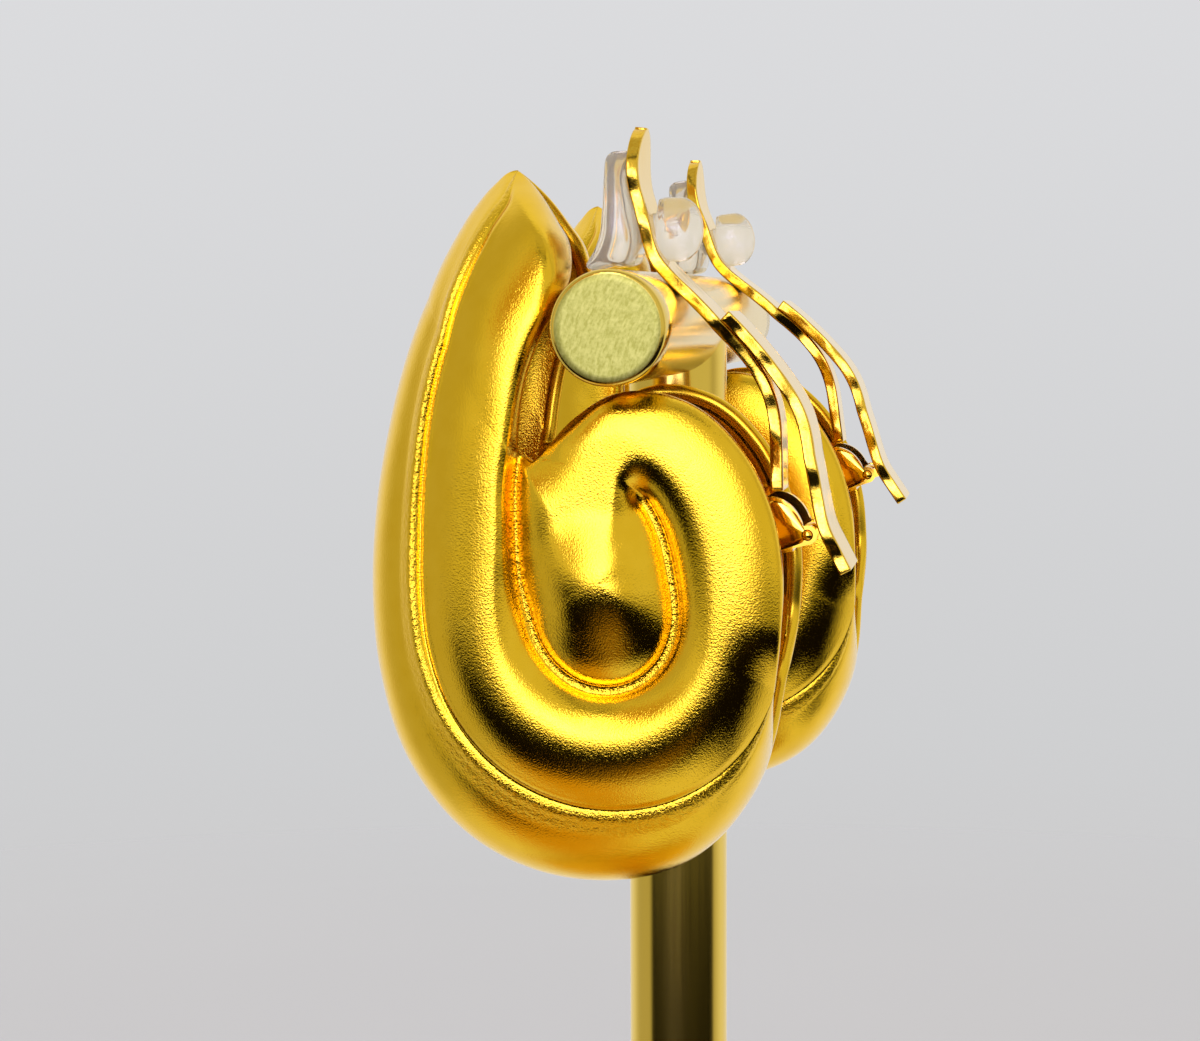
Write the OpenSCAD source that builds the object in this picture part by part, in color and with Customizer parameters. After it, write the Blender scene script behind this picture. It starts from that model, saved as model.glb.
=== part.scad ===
// A pair of clip-on earrings clamped on the bar of a T-shaped display stand.
// Millimetres, Z up, the bar along Y. The worn fronts of the earrings face -X
// and their clips +X. The origin is the centre of the stand's underside.

/* [Stand] */
// Diameter of the foot
base_d = 60; // [54:1:80]
// Thickness of the foot
base_t = 4; // [3.5:0.5:8]
// Rounding of the foot's upper edge
base_round = 1.2; // [0.4:0.1:1.5]
// Diameter of the post and of the bar
rod_d = 5; // [4.6:0.1:5.1]
// Height of the bar's axis over the table
bar_height = 88; // [50:1:130]
// Length of the bar
bar_length = 42.6; // [40:0.2:70]
// Bevel on the bar's ends
bar_bevel = 0.15; // [0.05:0.05:0.3]
// Depth of the post's socket in the foot
socket_depth = 3; // [1:0.5:3]
// Clearance between the post and its socket
socket_gap = 0.05; // [0.03:0.01:0.1]

/* [Earrings] */
// Distance of each earring's mid-plane from the post
earring_offset = 12.9; // [10:0.1:14]
// Turn of the rear earring about the bar, in degrees
back_turn = 6.4; // [0:0.1:10]
// Thickness of the shells' walls
wall = 0.65; // [0.5:0.05:0.8]

/* [Swirl] */
// Widest half of the shell, from its mid-plane to the tube's crown
crown_level = 5.5; // [5:0.1:6]
// Half width of the open back edges
edge_level = 4.95; // [4.6:0.05:5]
// Drop of the tube's inner side, and of the core's edge, to the spiral groove
dome_drop = 1.05; // [0.8:0.05:1.1]
// Depth of the spiral groove below that
groove_depth = 0.2; // [0.1:0.05:0.3]
// Half width of the spiral groove
groove_half = 0.36; // [0.3:0.02:0.5]
// Height of the bead that runs along the groove's bottom
bead_height = 0.1; // [0:0.05:0.15]
// Drop of the horn's outer side to the crease beside the front band
horn_fall = 1.4; // [1:0.05:1.5]
// The same drop on the scroll
swirl_fall = 1.1; // [0.8:0.05:1.2]
// Place of the horn's crown, as a share of the way from its back edge to the crease
horn_crown = 0.14; // [0.1:0.01:0.3]
// Place of the scroll's crown, as a share of the way from the groove to the crease
swirl_crown = 0.42; // [0.35:0.01:0.5]
// Rise of the core's middle over the tube's crown
core_rise = 0.5; // [0:0.05:0.5]

/* [Clips] */
// Thickness of the clips' sheet metal
sheet = 0.56; // [0.5:0.02:0.6]
// Width of the paddle
paddle_w = 4; // [3.6:0.1:4.6]
// Width of the spring tongue
tongue_w = 2.8; // [2.4:0.1:3]
// Width of the lever strip
lever_w = 4.2; // [4:0.1:4.6]
// Diameter of the hinge pin
pin_d = 0.46; // [0.4:0.02:0.5]
// Clearance of the pin in the ears, on the radius
pin_gap = 0.03; // [0.02:0.01:0.05]
// Distance between the ears' inner faces
ear_inner = 3.2; // [3:0.1:3.6]
// Thickness of each ear
ear_t = 0.5; // [0.4:0.05:0.6]

/* [Pads] */
// Height of the silicone cushion
pad_d = 7; // [6:0.1:7.2]
// Width of the silicone cushion
pad_w = 4.6; // [4:0.1:5.4]
// Diameter of the stud behind the paddle
stud_d = 2.9; // [2.4:0.1:3.2]
// Reach of the stud behind the paddle
stud_reach = 2.6; // [1:0.1:3]
// Diameter of the neck through the paddle
neck_d = 1.6; // [1.2:0.1:2]

/* [Hidden] */
$fn = 96;
hair = 0.06;
rod_r = rod_d / 2;

// Centre of the swirl, and the ray that runs from it through the notch.
swirl_x = -1;
swirl_z = -11.2;
seam_angle = 124;
ray_step = 7.5;
ray_count = 48;
// Ray at which the open back begins, and ray at which the front band ends.
open_ray = 25;
band_ray = 27;
open_span = 36;

// One row for every 20 degrees from the seam ray, turning from the horn over the
// front, the bottom and the back edge to the top.
// Columns: groove radius, crease radius, outer radius.
swirl_rows = [
  [6.62, 12.55, 15.32],
  [4.82, 9.89, 12.80],
  [4.00, 8.59, 11.64],
  [3.70, 8.30, 11.48],
  [3.69, 8.66, 12.15],
  [4.07, 9.30, 13.38],
  [4.54, 9.88, 14.38],
  [4.89, 10.24, 14.52],
  [4.91, 10.32, 13.84],
  [4.56, 10.03, 11.80],
  [3.99, 9.24, 9.30],
  [3.44, 8.34, 8.34],
  [3.15, 8.12, 8.12],
  [3.20, 8.28, 8.28],
  [3.55, 8.62, 8.62],
  [4.12, 8.84, 8.84],
  [4.70, 8.38, 8.38],
  [5.40, 7.00, 7.00],
  [6.62, 6.62, 6.62]
];

// Ribs of the horn, from the seam ray up to the tip.
// Columns: back edge x, back edge z, crease x, crease z, front x, front z.
horn_rows = [
  [-4.70, -5.71, -8.02, -0.80, -9.57, 1.50],
  [-4.69, -5.20, -7.89, -0.20, -9.40, 2.00],
  [-4.52, -3.60, -7.68, 0.66, -9.10, 2.68],
  [-4.22, -2.10, -7.44, 1.43, -8.80, 3.30],
  [-3.66, -0.55, -7.13, 2.28, -8.42, 4.00],
  [-3.02, 0.75, -6.84, 3.02, -8.08, 4.58],
  [-2.62, 2.20, -6.51, 3.76, -7.74, 5.14],
  [-2.81, 3.66, -6.20, 4.48, -7.32, 5.70],
  [-3.43, 4.71, -5.87, 5.07, -6.95, 6.16],
  [-4.11, 5.72, -5.62, 5.60, -6.54, 6.56],
  [-4.80, 6.50, -5.56, 6.36, -6.06, 6.98]
];
tip = [-5.55, 7.13];

// Centre line of the paddle and its spring tongue. Columns: x, z.
paddle_line = [
  [0.18, 8.62], [0.11, 8.09], [0.05, 7.32], [0.08, 6.67], [0.17, 6.12],
  [0.33, 5.57], [0.50, 4.91], [0.63, 4.37], [0.76, 3.82], [1.00, 3.18],
  [1.42, 2.56], [2.00, 1.96], [2.70, 1.30], [3.33, 0.66], [3.96, -0.04],
  [4.63, -0.76], [5.29, -1.58], [5.84, -2.46], [6.20, -3.34], [6.40, -4.30],
  [6.46, -5.43], [6.48, -6.50], [6.50, -7.30]
];
// Last row of the paddle's broad part in the line above.
broad_rows = 15;

// Centre line of the lever strip behind it. Columns: x, z.
lever_line = [
  [4.28, 0.42], [4.92, -0.22], [5.60, -0.98], [6.22, -1.74], [6.87, -2.62],
  [7.36, -3.40], [7.70, -4.20], [7.90, -5.00], [8.02, -5.80], [8.20, -6.70],
  [8.36, -7.60], [8.55, -8.55], [8.76, -9.20], [9.12, -9.92], [9.62, -10.88]
];

// Hinge axis of the clips, from the bar's axis.
hinge_x = 7.94;
hinge_z = -9.3;

function mix(a, b, t) = a + (b - a) * t;
function clamp01(t) = max(0, min(1, t));
function smooth(t) = clamp01(t) * clamp01(t) * (3 - 2 * clamp01(t));

// Value in a row of a table. Past either end the table goes on in the same curve.
function row_entry(rows, n, column) =
  let (last = len(rows) - 1)
  n < 0 ? 3 * rows[0][column] - 3 * rows[1][column] + rows[2][column]
  : n > last ? 3 * rows[last][column] - 3 * rows[last - 1][column] + rows[last - 2][column]
  : rows[n][column];
// Value between two rows of a table, by a smooth cubic through four rows.
function row_value(rows, at, column) =
  let (i = min(floor(at), len(rows) - 2), t = at - i,
       a = row_entry(rows, i - 1, column), b = row_entry(rows, i, column),
       c = row_entry(rows, i + 1, column), d = row_entry(rows, i + 2, column))
  b + t * ((c - a) / 2 + t * ((2 * a - 5 * b + 4 * c - d) / 2
        + t * (3 * b - 3 * c + d - a) / 2));

function ray_angle(i) = seam_angle + i * ray_step;
function whole_groove_r(i) = row_value(swirl_rows, i * ray_step / 20, 0);
function whole_rim_r(i) = row_value(swirl_rows, i * ray_step / 20, i >= band_ray ? 2 : 1);
// Beside the notch's root the sheet is cut back a little from the whole form's rim.
notch_cut = 0.62;
function outer_r(i) =
  row_value(swirl_rows, i * ray_step / 20, 2)
  - notch_cut * smooth((ray_angle(i) - 459) / 20) * smooth((484 - ray_angle(i)) / 4.5);
function rim_r(i) = i >= band_ray ? outer_r(i) : whole_rim_r(i);
function groove_r(i) =
  min(whole_groove_r(i), outer_r(i) - 0.1 * clamp01(ray_count - i));

// How strongly the groove is cut on a ray: full, and none across the top.
function groove_part(i) = 1 - smooth((ray_angle(i) - 421) / 19);
// How far a ray's section has turned into that of the notch's root.
function root_part(i) = smooth((ray_angle(i) - 446) / 38);
// Share of the way from the horn's section to the scroll's.
function swirl_part(i) = smooth((ray_angle(i) - 150) / 90);
function crown_at(i) = mix(horn_crown, swirl_crown, swirl_part(i));
// Half width of the shell's outer boundary: nil on the closed front and bottom,
// then rising round the lower end of the open back.
function outer_level(i) =
  i <= open_ray ? 0
  : edge_level * pow(sin(90 * clamp01((i - open_ray) * ray_step / open_span)), 0.8);
function rim_level(i) =
  i >= band_ray ? outer_level(i)
  : crown_level - mix(horn_fall, swirl_fall, swirl_part(i))
    - 1.05 * smooth((ray_angle(i) - 284) / 42);

// Taper of the width toward the horn's tip.
function taper(z) = 1 - pow(clamp01((z + 6) / 13.13), 5);
function ray_taper(i, z) = i < open_ray ? taper(z) : 1;

// Depth of the groove's section at a distance from its line.
function groove_section(d) =
  groove_depth * exp(-pow(d / groove_half, 2)) - bead_height * exp(-pow(d / 0.11, 2));

// Fall of the core toward the groove, and of a free edge that turns in.
core_spread = 3.3;
function core_drop(d) = dome_drop * pow(clamp01(1 - d / core_spread), 2.5) + groove_section(d);
function rounding(d, width, fall) = fall * (1 - sqrt(1 - pow(clamp01(1 - d / width), 2)));
edge_round = 0.65;
edge_fall = 0.45;
tip_round = 1.05;
tip_fall = 3.2;

// How far a tube's side lies under its crown, at a share of the way from the groove
// to the rim: a low arch that falls faster on its outer side, and that flattens where
// the tube runs out.
inner_arch = 2.05;
outer_arch = 2.3;
full_width = 1.5;
function tube_drop(share, width, crown, inner_drop, rim_drop) =
  mix(dome_drop,
      inner_drop * pow(clamp01(1 - share / crown), inner_arch)
      + rim_drop * pow(clamp01((share - crown) / (1 - crown)), outer_arch),
      smooth(width / full_width));

// Half width of the outer surface on a ray, at a radius inside the rim: the core is
// a low dome inside the groove, and the open rim turns in a little.
function swirl_level(i, r) =
  let (groove = whole_groove_r(i), width = whole_rim_r(i) - groove, root = root_part(i),
       side = r < groove
         ? groove_part(i) * core_drop(groove - r)
         : groove_part(i) * groove_section(r - groove)
           + tube_drop(width > 0 ? (r - groove) / width : 0, width, crown_at(i),
                       groove_part(i) * dome_drop, crown_level - rim_level(i)),
       edge = smooth((i - band_ray) / 5) * (1 - root)
              * rounding(rim_r(i) - r, edge_round, edge_fall))
  mix(crown_level - side - edge, crown_level - core_drop(whole_rim_r(i) - r), root)
  + core_rise * pow(clamp01(1 - pow(r / core_spread, 2)), 2);

// Columns of the outer grid: fractions of the core, offsets from the groove,
// fractions of the tube, and angles over the front band.
core_parts = [0, 0.4, 0.72];
groove_offsets = [-0.95, -0.5, 0, 0.5, 0.95];
tube_parts = [0.27, 0.54, 0.8, 1];
band_turns = [30, 60, 90];
bead_column = 5;
rim_column = 11;
last_column = 14;

function offset_part(i) = clamp01((rim_r(i) - groove_r(i)) / 2.5);
function column_r(i, j) =
  j < 3 ? core_parts[j] * (groove_r(i) + groove_offsets[0])
  : j <= 5 ? groove_r(i) + groove_offsets[j - 3]
  : j <= 7 ? groove_r(i) + groove_offsets[j - 3] * offset_part(i)
  : j <= 11 ? mix(groove_r(i) + groove_offsets[4] * offset_part(i), rim_r(i),
                  tube_parts[j - 8])
  : mix(rim_r(i), outer_r(i), sin(band_turns[j - 12]));
function column_level(i, j) =
  j <= rim_column ? swirl_level(i, column_r(i, j))
  : mix(outer_level(i), rim_level(i), cos(band_turns[j - 12]));

// A point of the near side, at a radius and a half width on a ray.
function ray_point(i, r, level) =
  let (a = ray_angle(i), z = swirl_z + r * sin(a))
  [swirl_x + r * cos(a), -level * ray_taper(i, z), z];

// Columns of a rib: fractions from the back edge to the crease, then the band.
rib_parts = [0, 0.09, 0.22, 0.42, 0.62, 0.82, 1];
function rib_end(k, which) = [horn_rows[k][2 * which], horn_rows[k][2 * which + 1]];
function rib_width(k) = norm(rib_end(k, 1) - rib_end(k, 0));
function rib_plan(k, j) =
  j <= rim_column
  ? mix(rib_end(k, 0), rib_end(k, 1), rib_parts[j - bead_column])
  : mix(rib_end(k, 1), rib_end(k, 2), sin(band_turns[j - 12]));
function rib_level(k, j) =
  let (w = rib_width(k), d = rib_parts[min(j, rim_column) - bead_column] * w,
       away = smooth(k / 2.5), closing = smooth((k - 4) / 3.5))
  j > rim_column
  ? (crown_level - horn_fall) * cos(band_turns[j - 12])
  : crown_level - (1 - smooth(k / 1.5)) * groove_section(d)
    - tube_drop(d / w, w, horn_crown, dome_drop * (1 - 0.7 * away), horn_fall)
    - away * rounding(d, mix(edge_round, tip_round, closing), mix(edge_fall, tip_fall, closing));
function rib_point(k, j) =
  let (p = rib_plan(k, j))
  [p[0], -rib_level(k, j) * taper(p[1]), p[1]];

// The inner surface has fewer columns: two in the core, the groove, one in the
// tube, the rim and two over the band.
inner_last = 6;
rim_step = 0.1;
function inner_boundary_r(i) =
  outer_r(i) - wall * sqrt(1 - pow(outer_level(i) / edge_level, 2));
function inner_rim_r(i) =
  min(rim_r(i), inner_boundary_r(i) - (i < band_ray ? rim_step : 0));
function inner_rim_level(i) =
  i < band_ray ? rim_level(i) - wall : outer_level(i) * (1 - wall / edge_level);
function inner_r(i, j) =
  j <= 2 ? groove_r(i) * [0, 0.6, 1][j]
  : j == 3 ? mix(groove_r(i), inner_rim_r(i), 0.5)
  : j == 4 ? inner_rim_r(i)
  : mix(inner_rim_r(i), inner_boundary_r(i), sin([45, 90][j - 5]));
function inner_level(i, j) =
  j == 0 ? crown_level + core_rise - wall
  : j == 1 ? swirl_level(i, inner_r(i, 1)) - wall
  : j == 2 ? swirl_level(i, groove_r(i)) - groove_part(i) * bead_height - wall
  : j == 3 ? swirl_level(i, inner_r(i, 3)) - wall
  : j == 4 ? inner_rim_level(i)
  : mix(outer_level(i) * (1 - wall / edge_level), inner_rim_level(i),
        cos([45, 90][j - 5]));
function inner_rib_plan(k, j) =
  let (front = rib_end(k, 2), back = rib_end(k, 0), span = norm(front - back),
       inset = mix(front, back, min(wall, 0.3 * span) / span),
       corner = mix(rib_end(k, 1), inset, 0.08))
  j == 2 ? back
  : j == 3 ? mix(back, rib_end(k, 1), 0.5)
  : j == 4 ? corner
  : mix(corner, inset, sin([45, 90][j - 5]));
function inner_rib_level(k, j) =
  let (outer = j == 2 ? rib_level(k, bead_column)
             : j == 3 ? crown_level
                        - tube_drop(0.5, rib_width(k), horn_crown, 0, horn_fall)
             : (crown_level - horn_fall) * (j == 4 ? 1 : cos([45, 90][j - 5])),
       full = outer * taper(inner_rib_plan(k, j)[1]))
  max(full - wall, 0.45 * full);
function inner_rib_point(k, j) =
  let (p = inner_rib_plan(k, j))
  [p[0], -inner_rib_level(k, j), p[1]];
inner_tip = mix(tip, (rib_end(10, 0) + rib_end(10, 2)) / 2, 0.4);

// Numbering of the points. Each side holds the swirl's centre, then the rays,
// then the ribs, then the tip.
rib_count = len(horn_rows);
outer_ray_points = [
  for (i = [0 : ray_count - 1], j = [1 : last_column])
    ray_point(i, column_r(i, j), column_level(i, j))
];
outer_rib_points = [
  for (k = [1 : rib_count - 1], j = [bead_column : last_column]) rib_point(k, j)
];
outer_side = concat(
  [[swirl_x, -crown_level - core_rise, swirl_z]], outer_ray_points, outer_rib_points,
  [[tip[0], 0, tip[1]]]
);
inner_ray_points = [
  for (i = [0 : ray_count - 1], j = [1 : inner_last])
    ray_point(i, inner_r(i, j), inner_level(i, j))
];
inner_rib_points = [
  for (k = [1 : rib_count - 1], j = [2 : inner_last]) inner_rib_point(k, j)
];
inner_side = concat(
  [[swirl_x, wall - crown_level - core_rise, swirl_z]], inner_ray_points, inner_rib_points,
  [[inner_tip[0], 0, inner_tip[1]]]
);

// Number of a grid point on one side. Columns: last column, groove column, rim
// column. The rays close on the seam ray, and what lies past the notch or past
// the band's end falls together.
outer_grid = [last_column, bead_column, rim_column];
inner_grid = [inner_last, 2, 4];
function ray_id(grid, i, j) =
  j == 0 ? 0
  : i == ray_count ? ray_id(grid, 0, min(j, grid[1]))
  : i >= band_ray && j > grid[2] ? ray_id(grid, i, grid[2])
  : 1 + i * grid[0] + j - 1;
function side_size(grid) =
  2 + ray_count * grid[0] + (rib_count - 1) * (grid[0] - grid[1] + 1);
function rib_id(grid, k, j) =
  k == 0 ? ray_id(grid, 0, j)
  : k == rib_count ? side_size(grid) - 1
  : 1 + ray_count * grid[0] + (k - 1) * (grid[0] - grid[1] + 1) + j - grid[1];

// The closed front and bottom line is shared by both sides.
function is_shared(grid, id) =
  id == side_size(grid) - 1
  || (id >= 1 + ray_count * grid[0]
      && (id - 1 - ray_count * grid[0]) % (grid[0] - grid[1] + 1)
         == grid[0] - grid[1])
  || (id > 0 && id <= (open_ray + 1) * grid[0] && id % grid[0] == 0);
function far_id(grid, id) = is_shared(grid, id) ? id : id + side_size(grid);

function is_face(f) = f[0] != f[1] && f[1] != f[2] && f[2] != f[0];
function quad(a, b, c, d) = [for (f = [[a, b, c], [a, c, d]]) if (is_face(f)) f];
function near_faces(grid) = concat(
  [for (i = [0 : ray_count - 1], j = [0 : grid[0] - 1])
    each quad(ray_id(grid, i, j), ray_id(grid, i + 1, j),
              ray_id(grid, i + 1, j + 1), ray_id(grid, i, j + 1))],
  [for (k = [0 : rib_count - 1], j = [grid[1] : grid[0] - 1])
    each quad(rib_id(grid, k, j), rib_id(grid, k, j + 1),
              rib_id(grid, k + 1, j + 1), rib_id(grid, k + 1, j))]
);
function flipped(f) = [f[2], f[1], f[0]];
function both_sides(grid) = concat(
  near_faces(grid),
  [for (f = near_faces(grid)) [far_id(grid, f[2]), far_id(grid, f[1]), far_id(grid, f[0])]]
);
function mirrored(points) = [for (p = points) [p[0], -p[1], p[2]]];

// The open edge of one side, from the lower end of the back to the horn's tip.
function edge_ids(grid) = concat(
  [for (i = [open_ray : ray_count]) ray_id(grid, i, i < band_ray ? grid[0] : grid[2])],
  [for (k = [1 : rib_count]) rib_id(grid, k, grid[1])]
);

module shell_skin() {
  outer_ids = edge_ids(outer_grid);
  inner_ids = edge_ids(inner_grid);
  shift = 2 * side_size(outer_grid);
  last = len(outer_ids) - 2;
  polyhedron(
    points = concat(outer_side, mirrored(outer_side), inner_side, mirrored(inner_side)),
    faces = concat(
      both_sides(outer_grid),
      [for (f = both_sides(inner_grid)) [f[2] + shift, f[1] + shift, f[0] + shift]],
      [for (n = [0 : last])
        each quad(outer_ids[n], outer_ids[n + 1],
                  inner_ids[n + 1] + shift, inner_ids[n] + shift)],
      [for (n = [0 : last])
        each quad(far_id(inner_grid, inner_ids[n]) + shift,
                  far_id(inner_grid, inner_ids[n + 1]) + shift,
                  far_id(outer_grid, outer_ids[n + 1]), far_id(outer_grid, outer_ids[n]))]
    )
  );
}

// Points beside a line at a distance to its left, seen going down the line.
function line_turn(line, n) =
  let (d = line[min(n + 1, len(line) - 1)] - line[max(n - 1, 0)])
  [d[1], -d[0]] / norm(d);
function beside(line, distance) = [
  for (n = [0 : len(line) - 1]) line[n] + distance * line_turn(line, n)
];
function reversed(list) = [for (n = [len(list) - 1 : -1 : 0]) list[n]];

// A shape drawn in x and z, carried to both sides of the mid-plane.
module across(width) {
  rotate([90, 0, 0])
    linear_extrude(width, center = true)
      children();
}

module sheet_strip(line, width) {
  across(width)
    polygon(concat(beside(line, sheet / 2), reversed(beside(line, -sheet / 2))));
}

module stand_base() {
  color([0.80, 0.64, 0.30])
    difference() {
      rotate_extrude()
        union() {
          square([base_d / 2 - base_round, base_t]);
          square([base_d / 2, base_t - base_round]);
          translate([base_d / 2 - base_round, base_t - base_round])
            circle(base_round);
        }
      translate([0, 0, base_t - socket_depth])
        cylinder(h = base_t, r = rod_r + socket_gap);
    }
}

module bar_half() {
  half = bar_length / 2;
  cylinder(h = half - bar_bevel, r = rod_r);
  translate([0, 0, half - bar_bevel])
    cylinder(h = bar_bevel, r1 = rod_r, r2 = rod_r - bar_bevel);
}

module stand_tee() {
  foot = base_t - socket_depth + socket_gap;
  color([0.82, 0.66, 0.32])
    union() {
      translate([0, 0, foot])
        cylinder(h = bar_height - foot, r = rod_r);
      translate([0, 0, bar_height])
        rotate([90, 0, 0])
          bar_half();
      translate([0, 0, bar_height])
        rotate([-90, 0, 0])
          bar_half();
    }
}

// Sizes of the bracket: the centre, reach and rise of the ears' quarter ovals, the
// eye round the hinge axis, the plate, and the flange between the ears.
ear_x = 6.2;
ear_z = -9.5;
ear_reach = 1.62;
ear_rise = 1.9;
eye_r = 0.44;
plate_x = 5;
plate_t = 0.5;
plate_bottom = -10.4;
flange_t = 0.36;
flange_end = [7.25, -10.08];

// Side view of an ear, with its eye.
module ear_shape() {
  difference() {
    union() {
      polygon(concat(
        [[plate_x, plate_bottom], [plate_x, ear_z + ear_rise]],
        [for (t = [0 : 10 : 90])
          [ear_x + ear_reach * sin(t), ear_z + ear_rise * cos(t)]],
        [[hinge_x, hinge_z - eye_r]]
      ));
      translate([hinge_x, hinge_z])
        circle(eye_r);
    }
    translate([hinge_x, hinge_z])
      circle(pin_d / 2 + pin_gap);
  }
}

// Plate soldered across the shell's hollow, with two ears and a cross flange.
module bracket() {
  translate([plate_x, -edge_level, plate_bottom])
    cube([plate_t, 2 * edge_level, ear_z + ear_rise - plate_bottom]);
  for (side = [-1, 1])
    translate([0, side * (ear_inner + ear_t) / 2, 0])
      across(ear_t)
        ear_shape();
  across(ear_inner + ear_t)
    polygon([
      [plate_x, plate_bottom], flange_end, flange_end + [0, flange_t],
      [plate_x, plate_bottom + flange_t]
    ]);
}

module earring_shell() {
  color([0.92, 0.70, 0.22])
    union() {
      shell_skin();
      bracket();
    }
}

// Front view of the paddle, wide at the cushion and narrow at the tongue.
module paddle_front() {
  top = paddle_line[0][1] + sheet / 2;
  wide_end = paddle_line[broad_rows - 1][1];
  narrow_start = paddle_line[broad_rows + 1][1];
  translate([top - paddle_w / 2, 0])
    circle(paddle_w / 2);
  polygon([
    [top - paddle_w / 2, -paddle_w / 2], [wide_end, -paddle_w / 2],
    [narrow_start, -tongue_w / 2], [ear_z, -tongue_w / 2],
    [ear_z, tongue_w / 2], [narrow_start, tongue_w / 2],
    [wide_end, paddle_w / 2], [top - paddle_w / 2, paddle_w / 2]
  ]);
}

// Turns a front view, drawn with its height along x, to face along X.
module facing_x(from, to) {
  translate([from, 0, 0])
    rotate([0, -90, 0])
      mirror([0, 0, 1])
        linear_extrude(to - from)
          children();
}

stud_z = paddle_line[7][1];

// The pin's knuckle, and the end of the link that joins it to the lever strip.
knuckle_r = eye_r - 0.02;
link_end = [[8.72, -9.1], [8.84, -9.4]];
link_half = 0.3;

module clip() {
  color([0.86, 0.66, 0.24])
    union() {
      difference() {
        intersection() {
          sheet_strip(paddle_line, paddle_w + 1);
          facing_x(-2, 8)
            paddle_front();
        }
        translate([-2, 0, stud_z])
          rotate([0, 90, 0])
            cylinder(h = 5, r = neck_d / 2 + hair);
      }
      sheet_strip(lever_line, lever_w);
      translate([hinge_x, 0, hinge_z])
        rotate([90, 0, 0]) {
          cylinder(h = ear_inner + 2 * ear_t, r = pin_d / 2, center = true);
          cylinder(h = ear_inner - 2 * hair, r = knuckle_r, center = true);
        }
      across(ear_inner - 2 * hair)
        polygon([
          [hinge_x, hinge_z + link_half], link_end[0], link_end[1],
          [hinge_x, hinge_z - link_half]
        ]);
    }
}

// Side view of the cushion: flat against the paddle, its lower part bent over
// the top of the bar. Columns: x, z.
cushion_rows = [
  [-0.29, 7.86], [-1.25, 7.86], [-1.38, 7.60], [-1.38, 5.60], [-1.48, 4.28],
  [-1.75, 3.50], [-2.08, 3.00], [-2.30, 2.72], [-1.95, 2.22]
];
// Clearance over the bar, and the angles between which the cushion lies over it.
bar_clearance = 0.1;
first_touch = 128;
last_touch = 92;

module cushion_shape() {
  polygon(concat(
    cushion_rows,
    [for (t = [first_touch : -6 : last_touch])
      (rod_r + bar_clearance) * [cos(t), sin(t)]],
    [[-0.05, 3.4], [0.02, 3.9]],
    reversed([for (p = beside(paddle_line, sheet / 2 + hair))
      if (p[1] < 7.8 && p[1] > 4.2) p])
  ));
}

// Share of the stud's radius by which its end is domed.
stud_dome = 0.7;
module stud() {
  r = stud_d / 2;
  rotate([0, 90, 0])
    rotate_extrude($fn = 48)
      polygon(concat(
        [[0, 0], [r, 0]],
        [for (t = [0 : 15 : 90])
          [r * cos(t), stud_reach + 0.4 - r * stud_dome * (1 - sin(t))]]
      ));
}

module pad() {
  color([0.90, 0.90, 0.86, 0.6])
    union() {
      intersection() {
        across(pad_d + 1)
          cushion_shape();
        facing_x(-3, 1)
          translate([stud_z, 0])
            scale([1, pad_w / pad_d])
              circle(pad_d / 2);
      }
      translate([-0.6, 0, stud_z])
        rotate([0, 90, 0])
          cylinder(h = stud_reach, r = neck_d / 2);
      difference() {
        translate([0, 0, stud_z])
          stud();
        across(stud_d + 1)
          polygon(concat(
            [[-2, 9], [-2, 1]],
            reversed(beside(paddle_line, -sheet / 2 - hair))
          ));
      }
    }
}

// Places a part of the front earring, or of the turned rear one, on the bar.
module on_bar(front) {
  translate([0, front ? -earring_offset : earring_offset, bar_height])
    rotate([0, front ? 0 : -back_turn, 0])
      children();
}

module front_shell() { on_bar(true) earring_shell(); }
module front_clip() { on_bar(true) clip(); }
module front_pad() { on_bar(true) pad(); }
module back_shell() { on_bar(false) earring_shell(); }
module back_clip() { on_bar(false) clip(); }
module back_pad() { on_bar(false) pad(); }

stand_base();
stand_tee();
front_shell();
front_clip();
front_pad();
back_shell();
back_clip();
back_pad();
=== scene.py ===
import math

import bmesh
import bpy
import numpy as np
from mathutils import Matrix, Vector


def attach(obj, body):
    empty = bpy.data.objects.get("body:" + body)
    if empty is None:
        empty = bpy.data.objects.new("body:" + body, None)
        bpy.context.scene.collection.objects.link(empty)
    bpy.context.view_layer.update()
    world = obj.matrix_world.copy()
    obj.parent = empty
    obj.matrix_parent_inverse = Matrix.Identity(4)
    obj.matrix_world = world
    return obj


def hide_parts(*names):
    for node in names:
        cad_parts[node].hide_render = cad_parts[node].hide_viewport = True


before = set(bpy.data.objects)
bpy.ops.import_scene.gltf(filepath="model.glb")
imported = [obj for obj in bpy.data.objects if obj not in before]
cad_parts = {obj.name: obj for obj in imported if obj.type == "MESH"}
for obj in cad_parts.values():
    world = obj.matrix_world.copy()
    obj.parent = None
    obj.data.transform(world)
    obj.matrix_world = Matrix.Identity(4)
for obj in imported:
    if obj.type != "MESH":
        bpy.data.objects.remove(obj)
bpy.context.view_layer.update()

# The room. The camera stands close in front of the bar's end, a little to the clips' side
# and a little above, looking slightly down. A round pale table top fades into a plain
# pale backdrop. The light is a soft studio round the object, dim low down in front.
camera_place = (0.017683, -0.125112, 0.08902)
camera_yaw, camera_pitch, camera_roll = -9.848, -4.988, -0.256
focal_px, photo_width, sensor_width, nearest = 2482.3, 1200, 36.0, 0.01


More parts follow.
